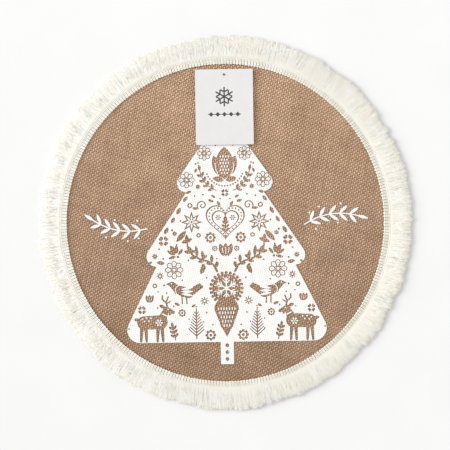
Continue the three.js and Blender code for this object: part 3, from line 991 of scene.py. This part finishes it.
paints = {
    # Warp and weft are one jute; the weft's lighter colours are painted light, evening out the low lamp from
    # the left that lights the warp's flanks more.
    "warp": jute("jute_warp", 90 + weave_turn, srgb(246, 210, 176), srgb(215, 178, 147), srgb(171, 137, 109)),
    "weft": jute("jute_weft", weave_turn, srgb(255, 222, 188), srgb(226, 190, 158), srgb(182, 148, 119)),
    # The lining's brown is darker than the cloth's own so the weave's holes read shaded: partly its real
    # colour, partly painted shade.
    "lining": calico("lining_calico", srgb(176, 148, 120), srgb(128, 102, 80)),
    "overlock": thread("brown_thread", srgb(184, 154, 124), srgb(128, 102, 78)),
    "trim": cotton("cotton_trim", srgb(252, 251, 245), srgb(236, 232, 220)),
    "fringe": cotton("cotton_fringe", srgb(255, 254, 250), srgb(242, 240, 233), 0.4),
    "thread": thread("cotton_thread", srgb(254, 252, 246), srgb(236, 231, 218)),
    "ink": white_ink(),
    "card": card_stock(),
    "grey": grey_ink(),
    "dark_nylon": nylon("dark_nylon", srgb(92, 89, 87), srgb(62, 60, 58)),
    "clear_nylon": nylon("clear_nylon", srgb(226, 226, 222), srgb(206, 206, 202), 0.5),
}


def piece(name, mesh, paint, body=None, nodes=()):
    """A new piece of the model, which rides on a body."""
    mesh.materials.append(paints[paint])
    obj = bpy.data.objects.new(name, mesh)
    bpy.context.scene.collection.objects.link(obj)
    if nodes:
        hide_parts(*nodes)
    if body:
        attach(obj, body)
    return obj


# ---- Cloth ----
def clear_of_pin(across, along, pin_across, pin_along):
    """Moves yarn points sideways off the pin's hole in the cloth."""
    room = 1.05 * np.exp(-(((along - pin_along) / 1.6) ** 2))
    away = across - pin_across
    return np.where(abs(away) < room, pin_across + np.where(away < 0, -room, room), across)


def weave_yarns(name, lengthwise, seed):
    """The yarns of one direction, each rising over every other yarn that it crosses."""
    rng = np.random.default_rng(seed)
    pitch, cross = (warp_pitch, weft_pitch) if lengthwise else (weft_pitch, warp_pitch)
    middle = (face_bottom + face_top) / 2
    radius = cloth_radius - 0.15
    pin_u, pin_v = spun(*pin_at, -weave_turn)
    yarns = Yarns()
    reach = int(radius / pitch)
    for i in range(-reach, reach + 1):
        base = i * pitch + rng.uniform(-0.07, 0.07)
        half_chord = math.sqrt(max(0, radius**2 - (abs(base) + 0.1) ** 2))
        count = int(half_chord / cross)
        if count < 2:
            continue
        crossing = np.arange(-count, count + 1)
        along = crossing * cross
        swing = np.where((crossing + i) % 2 == 0, 1.0, -1.0) * (1 if lengthwise else -1)
        across = base + 0.09 * smooth_noise(rng, len(along), 9) + 0.04 * rng.uniform(-1, 1, len(along))
        slub = 1 + 0.1 * smooth_noise(rng, len(along), 4) + 0.06 * smooth_noise(rng, len(along), 17)
        ends = np.array([-half_chord, half_chord])
        along = np.concatenate([ends[:1], along, ends[1:]])
        across, swing, slub = (np.pad(a, 1, mode="edge") for a in (across, swing, slub))
        swing[[0, -1]] = 0
        if lengthwise:
            across = clear_of_pin(across, along, pin_u, pin_v)
            plan = np.stack([across, along], 1)
        else:
            across = clear_of_pin(across, along, pin_v, pin_u)
            plan = np.stack([along, across], 1)
        plan = turned(plan, weave_turn)
        press = 1 - 0.5 * np.clip((np.hypot(*plan.T) - band_presses_from) / 1.2, 0, 1)
        beside_pin, above_pin = (plan - pin_at).T
        lift = 0.2 * np.exp(-((beside_pin / 4.4) ** 4) - (above_pin / 1.4) ** 2)  # clear of the pin's bar
        height = middle + yarn_rise * swing * press + lift
        tone = 0.5 + 0.07 * rng.uniform(-1, 1) + 0.09 * smooth_noise(rng, len(along), 6)
        tone = tone + 0.12 * rng.uniform(-1, 1, len(along))
        centre = np.concatenate([plan, height[:, None]], 1)
        yarns.add(centre, yarn_half * slub, yarn_rise * press * 0.96, 4, tone)
    return yarns.mesh(name, flat_map=True)


def backing_mesh():
    """The lining: a flat disc with a slot for the pin's bar, thinner under the overlock thread."""
    plan = Plan((-168, -168), (168, 168), 1.1)
    plan.stamp(disc(cloth_radius), ink=True)
    slot = taper(-3.6, 0, 3.6, 0, 0.75)
    plan.stamp(slot, pin_at, 8)
    radii = np.concatenate([np.arange(4, 162, 4.0), [162.2, 162.35, 162.85, 163.1, 163.3, 164.6]])
    points = []
    for r in radii:
        turns = np.linspace(0, 2 * np.pi, max(12, int(r * 1.2)), False) + r
        points.append(ring_points(turns, r, 0)[:, :2])
    mesh = slab("lining_cloth", plan, np.concatenate(points), lining_top, face_bottom, lambda p: p)
    rim = np.array([v.co for v in mesh.vertices]) / MM
    radius = np.hypot(rim[:, 0], rim[:, 1])
    low = rim[:, 2] < 0.2
    groove = np.exp(-(((radius - needle_radius) / 0.3) ** 4))
    rim[low, 2] = np.maximum(0.34 * groove, np.where(radius > 163.2, 0.26, 0))[low]
    mesh.vertices.foreach_set("co", (rim * MM).astype(np.float32).ravel())
    return mesh


def lining_top(world):
    x, y = world.T
    ripple = 0.03 * np.sin(x / 3.1 + 0.4 * np.sin(y / 11)) * np.sin(y / 2.7)
    return face_bottom - 0.035 + ripple, np.full(len(x), 0.5)


def overlock_mesh():
    """One thread that wraps the cloth's rim again and again."""
    wraps = 470
    section = [(163.5, 0.9), (163.6, 1.42), (164.8, 1.47), (165.9, 1.42), (166.12, 1.0), (166.12, 0.5)]
    section += [(165.9, 0.13), (164.8, 0.12), (163.6, 0.14)]
    steps = len(section)
    share = np.arange(wraps * steps) / steps
    rng = np.random.default_rng(5)
    slack = 0.08 * smooth_noise(rng, wraps * steps, 30)
    radius, height = np.tile(section, (wraps, 1)).T
    line_points = ring_points(2 * np.pi * share / wraps, radius + slack * (radius < 164), height)
    yarns = Yarns()
    outward = unit(line_points * [1, 1, 0])
    along = unit(np.roll(line_points, -1, 0) - np.roll(line_points, 1, 0))
    side = unit(np.cross(along, outward + [0, 0, 0.3]))
    tone = 0.5 + 0.3 * smooth_noise(rng, wraps * steps, 9)
    yarns.add(line_points, 0.26, 0.115, 6, tone, side[None], loop=True)
    return yarns.mesh("edge_overlock", flat_map=True)


def stitches(low, high, seed, flip=False):
    """The seam's ring of separate straight stitches, whose ends dive into the cloth."""
    rng = np.random.default_rng(seed)
    rise = np.array([0.0, 0.75, 1.0, 1.0, 0.75, 0.0])
    share = np.array([0.04, 0.1, 0.32, 0.68, 0.9, 0.96])
    first = join_angle + 0.01
    angle = first + 2 * np.pi * (np.arange(stitch_count)[:, None] + share) / stitch_count
    height = (high - (high - low) * rise) if flip else (low + (high - low) * rise)
    sway = 0.09 * rng.uniform(-1, 1, (stitch_count, 1)) * np.ones(len(share))
    yarns = Yarns()
    tone = 0.5 + 0.3 * rng.uniform(-1, 1, (stitch_count, 1)) * np.ones(len(share))
    yarns.add(ring_points(angle, needle_radius + sway, height), 0.2, 0.12, 8, tone)
    return yarns


def chain_mesh():
    """Two strands that wind round each other along the header's outer edge."""
    turns, steps = 390, 8
    gap_angle = (join_gap + 0.4) / chain_radius
    share = np.linspace(0, 1, turns * steps)
    angle = join_angle + gap_angle / 2 + (2 * np.pi - gap_angle) * share
    yarns = Yarns()
    for strand in (0, np.pi):
        phase = 2 * np.pi * turns * share + strand
        line_points = ring_points(angle, chain_radius + 0.2 * np.cos(phase), 2.42 + 0.07 * np.sin(phase))
        yarns.add(line_points, 0.17, 0.15, 6, 0.5 + 0.2 * np.cos(phase)[None])
    return yarns.mesh("trim_chain")


# ---- Trim ----
def loop_angles():
    """The middle angle of each loop of the trim's weft, and the angle from one to the next."""
    gap_angle = join_gap / header_outer
    pitch = (2 * np.pi - gap_angle) / loops
    return join_angle + gap_angle / 2 + pitch * (np.arange(loops) + 0.5), pitch


def header_mesh():
    """A band of U-shaped loops, held by two threads that go over and under their legs."""
    rng = np.random.default_rng(11)
    middle, pitch = loop_angles()
    leg = pitch / 4
    side = np.array([0.94, 0.93, 0.9, 0.82, 0.93, 0.96, 0.72]) * leg
    radius = np.array([169.0, 167.8, 166.0, 164.7, 163.5, 162.9, 162.35])
    height = np.array([1.85, 2.02, 2.08, 2.08, 2.1, 2.08, 2.04])
    across = np.concatenate([-side, [0], side[::-1]])
    radius = np.concatenate([radius, [162.14], radius[::-1]])
    height = np.concatenate([height, [2.02], height[::-1]])
    angle = middle[:, None] + across + 0.12 * leg * smooth_noise(rng, loops, 3)[:, None]
    reach = radius + 0.14 * rng.uniform(-1, 1, (loops, 1)) * (radius < 163.2)
    tone = 0.5 + 0.22 * rng.uniform(-1, 1, (loops, 1)) + 0.1 * smooth_noise(rng, loops, 9)[:, None]
    bulk = 0.6 * (1 + 0.08 * rng.uniform(-1, 1, (loops, 1))) * np.ones(len(across))
    yarns = Yarns()
    yarns.add(ring_points(angle, reach, height), bulk, 0.4, 8, tone * np.ones(len(across)))
    for ring_radius, phase in ((164.75, 0), (166.7, 1)):
        legs = 2 * loops
        first = middle[0] - leg
        angle = first + (middle[-1] - middle[0] + 2 * leg) * np.linspace(0, 1, 2 * legs - 1)
        wave = np.cos(np.pi * (np.arange(2 * legs - 1) / 2 + phase))
        yarns.add(ring_points(angle, ring_radius, 2.05 + 0.38 * wave), 0.17, 0.13, 6, 0.6)
    return yarns.mesh("trim_band", flat_map=True)


def clump_steps(rng, count):
    """A value for each leg that jumps every so often, as if the trim were cut a stretch at a time."""
    values, at = np.zeros(count), 0
    while at < count:
        width = int(rng.integers(9, 20))
        values[at : at + width] = rng.uniform(-1, 1)
        at += width
    return values


def fringe_meshes():
    """Cut yarns that leave the header, drop to the table and run out to the rim."""
    rng = np.random.default_rng(23)
    middle, pitch = loop_angles()
    legs = np.stack([middle - pitch / 4, middle + pitch / 4], 1).ravel()
    count = len(legs)
    clump = clump_steps(rng, count)
    lean = 1.1 * smooth_noise(rng, count, 9) + 0.4 * smooth_noise(rng, count, 3)
    lean = lean + 0.2 * rng.uniform(-1, 1, count)
    sway = 0.6 * smooth_noise(rng, count, 6)
    puff = 0.06 * smooth_noise(rng, count, 5)
    shade = 0.08 * smooth_noise(rng, count, 5) + 0.08 * clump_steps(rng, count)
    ragged = 0.9 * smooth_noise(rng, count, 25) + 1.1 * smooth_noise(rng, count, 2)
    ragged = ragged + rng.uniform(-0.9, 0.9, count)
    reach = fringe_radius + 0.2 + 1.1 * clump + ragged
    share = np.array([0.0, 0.12, 0.3, 0.52, 0.76, 0.985, 1.0])
    heights = np.array(
        [
            [1.9, 1.2, 0.42, 0.36, 0.36, 0.36, 0.36],
            [2.0, 1.85, 1.3, 1.2, 1.13, 1.0, 1.0],
            [2.0, 2.2, 2.2, 2.14, 2.03, 1.8, 1.8],
        ]
    )
    start = header_outer - 1.3
    from_first = np.clip((np.arange(count) + 0.5) / 2.5, 0, 1)
    ends = from_first * from_first[::-1]
    close = 0.5 * ((1 - from_first[::-1]) - (1 - from_first))
    meshes = {}
    for layer, name in enumerate(("fringe_lower", "fringe_middle", "fringe_upper")):
        yarns = Yarns()
        for place in range(strands_across):
            beside = place - (strands_across - 1) / 2
            tip = reach + rng.uniform(-0.8, 0.8, count) - 0.3 * (2 - layer)
            radius = start + (tip - start)[:, None] * share
            bow = (sway + rng.uniform(-0.3, 0.3, count))[:, None] * np.sin(np.pi * share) * ends[:, None]
            stray = rng.uniform(-0.2, 0.2, count) + lean * ends + close
            across = beside * (0.5 + 0.09 * share) + stray[:, None] * share**1.3 + bow
            wander = rng.uniform(-0.12, 0.12, (count, 1)) * share
            crown = puff[:, None] * np.sin(np.pi * np.clip(share * 1.1 - 0.1, 0, 1)) * layer / 2
            height = np.maximum(heights[layer] + wander + crown, 0.31)
            thick = (0.37 + rng.uniform(-0.03, 0.04, (count, 1))) * np.array([1, 1, 1, 1, 1, 0.9, 0.6])
            tone = 0.5 + shade[:, None] + rng.uniform(-0.12, 0.12, (count, 1)) + 0 * share
            angle = legs[:, None] + across / fringe_radius
            yarns.add(ring_points(angle, radius, height), thick, 0.9 * thick, 4, tone)
        meshes[name] = yarns.mesh(name, flat_map=True)
    meshes["fringe_strays"] = stray_ends(rng, np.repeat(legs[1:-1], 8), np.repeat(reach[1:-1], 8))
    return meshes


def stray_ends(rng, angle, reach):
    """Fine single fibres that stand out of the fringe's cut edge and lie over it."""
    count = len(angle)
    share = np.array([0.0, 0.45, 0.96, 1.0])
    length = rng.uniform(5, 15, count)
    stands_out = rng.random(count) < 0.45
    outer, inner = reach + rng.uniform(-1.2, 1.5, count), reach - rng.uniform(1, 7, count)
    tip = np.where(stands_out, outer, inner)
    length = np.minimum(length, tip - header_outer - 1)
    radius = (tip - length)[:, None] + length[:, None] * share
    lean = np.radians(16) * (rng.uniform(-1, 1, count) + 0.8 * smooth_noise(rng, count, 60)) * length
    across = rng.uniform(-0.7, 0.7, count)[:, None] + lean[:, None] * share**1.4
    out = (radius - header_outer) / fringe_length
    crown = 2.46 - 0.6 * np.clip(out - 0.3, 0, 1) ** 1.3
    height = crown + rng.uniform(-0.12, 0.12, count)[:, None] * np.sin(np.pi * share * 0.8)
    yarns = Yarns()
    points = ring_points(angle[:, None] + across / fringe_radius, radius, height)
    tone = 0.5 + 0.3 * rng.uniform(-1, 1, (count, 1)) + 0 * share
    yarns.add(points, 0.17 * np.array([0.7, 1, 0.8, 0.5]), None, 4, tone)
    return yarns.mesh("fringe_strays", flat_map=True)


# ---- Prints ----
def over_weave(world):
    """The height and tone of ink that follows the weave under it."""
    u, v = spun(world[:, 0], world[:, 1], -weave_turn)
    hill = 0.5 * (np.cos(2 * np.pi * u / warp_pitch) + np.cos(2 * np.pi * v / weft_pitch))
    return ink_top - 0.09 + 0.09 * hill, 0.5 + 0.5 * hill


def weave_points(low, high, place_back):
    """The weave's crossings, hollows and the points between, as plan points within a box."""
    reach = max(np.abs(low).max(), np.abs(high).max()) * 1.5
    u = np.arange(-int(reach / warp_pitch * 2), int(reach / warp_pitch * 2) + 1) * warp_pitch / 2
    v = np.arange(-int(reach / weft_pitch * 2), int(reach / weft_pitch * 2) + 1) * weft_pitch / 2
    points = turned(np.stack(np.meshgrid(u, v, indexing="ij"), -1).reshape(-1, 2), weave_turn)
    points = place_back(points)
    return points[((points > low) & (points < high)).all(1)]


def on_cloth(name, plan, turn):
    low = plan.low
    high = low + plan.step * (np.array(plan.d.shape) - 1)
    inner = weave_points(low, high, lambda p: turned(p, -turn))
    return slab(name, plan, inner, over_weave, 0.1, lambda p: turned(p, turn))


# ---- The tag ----
def card_rise(points):
    """How far the card's sheet lifts off flat at places in its own frame."""
    x, y = points.T
    return 0.16 * (np.clip(-y - 12, 0, None) / 58) ** 2 + 0.12 * (x / 29.5) ** 2 * np.clip(-y / 70, 0, 1)


def on_tag(name, plan, spacing, base, thickness):
    """A thin piece in the tag's frame, that follows the card's curl."""
    low = plan.low
    high = low + plan.step * (np.array(plan.d.shape) - 1)
    x, y = np.arange(low[0], high[0], spacing), np.arange(low[1], high[1], spacing)
    inner = np.stack(np.meshgrid(x, y, indexing="ij"), -1).reshape(-1, 2) + spacing / 2

    def height(world):
        own = turned(world - pin_at, -tag_turn)
        return base + card_rise(own), np.full(len(own), 0.5)

    return slab(name, plan, inner, height, thickness, lambda p: turned(p, tag_turn) + pin_at)


def smooth_route(points, per_span=8):
    """A Catmull-Rom curve through points."""
    points = np.array(points, float)
    ends = np.concatenate([[2 * points[0] - points[1]], points, [2 * points[-1] - points[-2]]])
    t = np.linspace(0, 1, per_span, endpoint=False)[:, None]
    spans = []
    for a, b, c, d in zip(ends[:-3], ends[1:-2], ends[2:-1], ends[3:]):
        bend, twist = 2 * a - 5 * b + 4 * c - d, 3 * b - a - 3 * c + d
        spans.append(0.5 * (2 * b + (c - a) * t + bend * t**2 + twist * t**3))
    return np.concatenate([*spans, points[-1:]])


def carried_sides(route):
    """A sideways direction at each point of a route, carried along it without twist."""
    along = unit(np.gradient(route, axis=0))
    side = np.array([1.0, 0.0, 0.0])
    sides = []
    for way in along:
        side = side - way * (side @ way)
        side = side / np.linalg.norm(side)
        sides.append(side)
    return np.array(sides)


def filament_mesh():
    """The pin's filament: up through the cloth, round in a slack loop under the card, and up to the button.

    Between bend_low and bend_high it runs straight up, on close-set rings."""
    loop = [(-0.25, -0.3), (-1.4, -1.1), (-2.7, 0.2), (-2.5, 2.2), (-0.8, 3.7), (1.3, 3.6)]
    loop += [(2.5, 2.2), (1.7, 0.9)]
    route = [(0, 0, 0.6), (0, 0, 1.1), (0, 0, 1.6), *[(x, y, 2.1) for x, y in loop], (0.55, 0.95, 2.12)]
    route = smooth_route([*route, (0, hole_up, 2.3), (0, hole_up, bend_low)])
    upright = [(0, hole_up, z) for z in np.linspace(bend_low, bend_high, 40)[1:]]
    route = np.array([*route, *upright, (0, hole_up, card_bottom + 0.2), (0, hole_up, card_top + 0.1)])
    route = turned(route, tag_turn, pin_at)
    yarns = Yarns()
    yarns.add(route, 0.24, 0.24, 10, 0.5, carried_sides(route)[None])
    return yarns.mesh("tag_filament")


def bar_mesh():
    share = np.linspace(-1, 1, 25)
    x = 4 * share
    end = np.sqrt(np.clip(1 - (np.clip(abs(x) - 3.6, 0, None) / 0.41) ** 2, 0.02, 1))
    route = turned(np.stack([x, 0 * x, np.full(len(x), 0.38)], 1), tag_turn, pin_at)
    waist = 1 - 0.18 * np.exp(-((x / 0.9) ** 2))
    yarns = Yarns()
    yarns.add(route, 0.4 * end * waist, 0.3 * end, 14, 0.5)
    return yarns.mesh("pin_bar")


def head_mesh():
    """A small button with a dished top."""
    low = card_top + 0.04
    side = [(0.9, 0), (1.06, 0.06), (1.1, 0.2), (1.06, 0.38), (0.92, 0.54)]
    dish = [(0.7, 0.64), (0.45, 0.66), (0.25, 0.6), (0, 0.58)]
    profile = [(r, low + z) for r, z in [(0, 0), *side, *dish]]
    centre = turned(np.array([[0.0, hole_up]]), tag_turn, pin_at)[0]
    return lathe("pin_head", profile, 32, centre)


# ---- The object ----
def build_cloth():
    yarns = []
    for way, lengthwise, seed in (("warp", True, 1), ("weft", False, 2)):
        mesh = weave_yarns(way, lengthwise, seed)
        yarns.append(piece(f"jute_{way}_yarns", mesh, way, "mat", ["face_cloth"]))
    lining = piece("lining_sheet", backing_mesh(), "lining", "mat", ["backing_cloth"])
    wraps = overlock_mesh()
    overlock = piece("overlock_wraps", wraps, "overlock", "mat", ["edge_overlock_thread"])
    return *yarns, lining, overlock


def build_trim():
    piece("trim_band", header_mesh(), "trim", "mat", ["trim_header"])
    for name, mesh in fringe_meshes().items():
        piece(name, mesh, "fringe", "mat", ["trim_fringe"])
    needle = stitches(needle_low, needle_high, 31).mesh("needle_stitches")
    bobbin = stitches(bobbin_low, bobbin_high, 32, flip=True).mesh("bobbin_stitches")
    piece("chain_stitches", chain_mesh(), "thread", "mat", ["trim_chain_thread"])
    piece("needle_stitches", needle, "thread", "mat", ["seam_needle_thread"])
    piece("bobbin_stitches", bobbin, "thread", "mat", ["seam_bobbin_thread"])


def build_prints():
    artwork = (
        ("tree", tree_plan(), print_turn),
        ("left_sprig", sprig_plan(-1), 0),
        ("right_sprig", sprig_plan(1), 0),
    )
    prints = []
    for name, plan, turn in artwork:
        mesh = on_cloth(name, plan, turn)
        prints.append(piece(f"{name}_ink", mesh, "ink", "mat", [f"{name}_print"]))
    return prints


def build_tag():
    card = on_tag("card", card_plan(), 2.4, card_top, 0.4)
    ink_height, ink_thickness = card_top + 0.07, 0.05
    mark = on_tag("mark", snowflake_plan(), 1.6, ink_height, ink_thickness)
    rule = on_tag("rule", rule_plan(), 3.0, ink_height, ink_thickness)
    piece("tag_card", card, "card", "tag", ["hang_tag"])
    piece("tag_snowflake", mark, "grey", "tag", ["tag_mark_print"])
    piece("tag_rule", rule, "grey", "tag", ["tag_rule_print"])
    piece("pin_button", head_mesh(), "dark_nylon", "tag", ["tag_pin_head"])
    piece("pin_bar", bar_mesh(), "dark_nylon", "mat", ["tag_pin_bar"])
    strand = filament_mesh()
    filament = piece("pin_filament", strand, "clear_nylon", nodes=["tag_pin_filament"])
    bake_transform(filament)


warp, weft, lining, overlock = build_cloth()
build_trim()
prints = build_prints()
build_tag()


# ---- Floor, light and camera ----
def add_floor():
    mesh = bpy.data.meshes.new("floor")
    half = 4.0
    corners = [(half * x, half * y, 0) for x, y in ((-1, -1), (1, -1), (1, 1), (-1, 1))]
    mesh.from_pydata(corners, [], [(0, 1, 2, 3)])
    mesh.materials.append(floor_paint())
    floor = bpy.data.objects.new("floor", mesh)
    floor.location.z = -0.0002
    bpy.context.scene.collection.objects.link(floor)


def add_sun(name, azimuth, elevation, strength, softness):
    """A sun whose light comes from an azimuth, counter-clockwise from +X, and an elevation, in degrees."""
    light = bpy.data.lights.new(name, "SUN")
    light.energy, light.angle = strength, math.radians(softness)
    sun = bpy.data.objects.new(name, light)
    azimuth, elevation = math.radians(azimuth), math.radians(elevation)
    flat = math.cos(elevation)
    way = Vector((flat * math.cos(azimuth), flat * math.sin(azimuth), math.sin(elevation)))
    sun.rotation_euler = way.to_track_quat("Z", "Y").to_euler()
    bpy.context.scene.collection.objects.link(sun)


def add_panel(name, place, size, power):
    """A soft square lamp at a place in metres, turned towards the mat."""
    light = bpy.data.lights.new(name, "AREA")
    light.energy, light.size = power, size
    panel = bpy.data.objects.new(name, light)
    panel.location = place
    panel.rotation_euler = Vector(place).to_track_quat("Z", "Y").to_euler()
    bpy.context.scene.collection.objects.link(panel)


def add_sky(strength):
    world = bpy.data.worlds.new("studio")
    world.use_nodes = True
    background = world.node_tree.nodes["Background"]
    background.inputs["Color"].default_value = (1, 1, 1, 1)
    background.inputs["Strength"].default_value = strength
    bpy.context.scene.world = world


def add_camera():
    camera = bpy.data.cameras.new("camera")
    distance, view_width = 1.6, 0.4597
    camera.sensor_width = 36
    camera.lens = camera.sensor_width * distance / view_width
    camera.clip_end = 20
    obj = bpy.data.objects.new("camera", camera)
    obj.location = (-0.0004, -0.0024, distance)
    bpy.context.scene.collection.objects.link(obj)
    bpy.context.scene.camera = obj


add_floor()
add_sky(0.8)
add_sun("key", 170, 20, 3.15, 34)
add_panel("top_fill", (-0.1, 1.1, 0.9), 0.8, 2.2)
add_camera()
bpy.context.scene.view_settings.view_transform = "Standard"
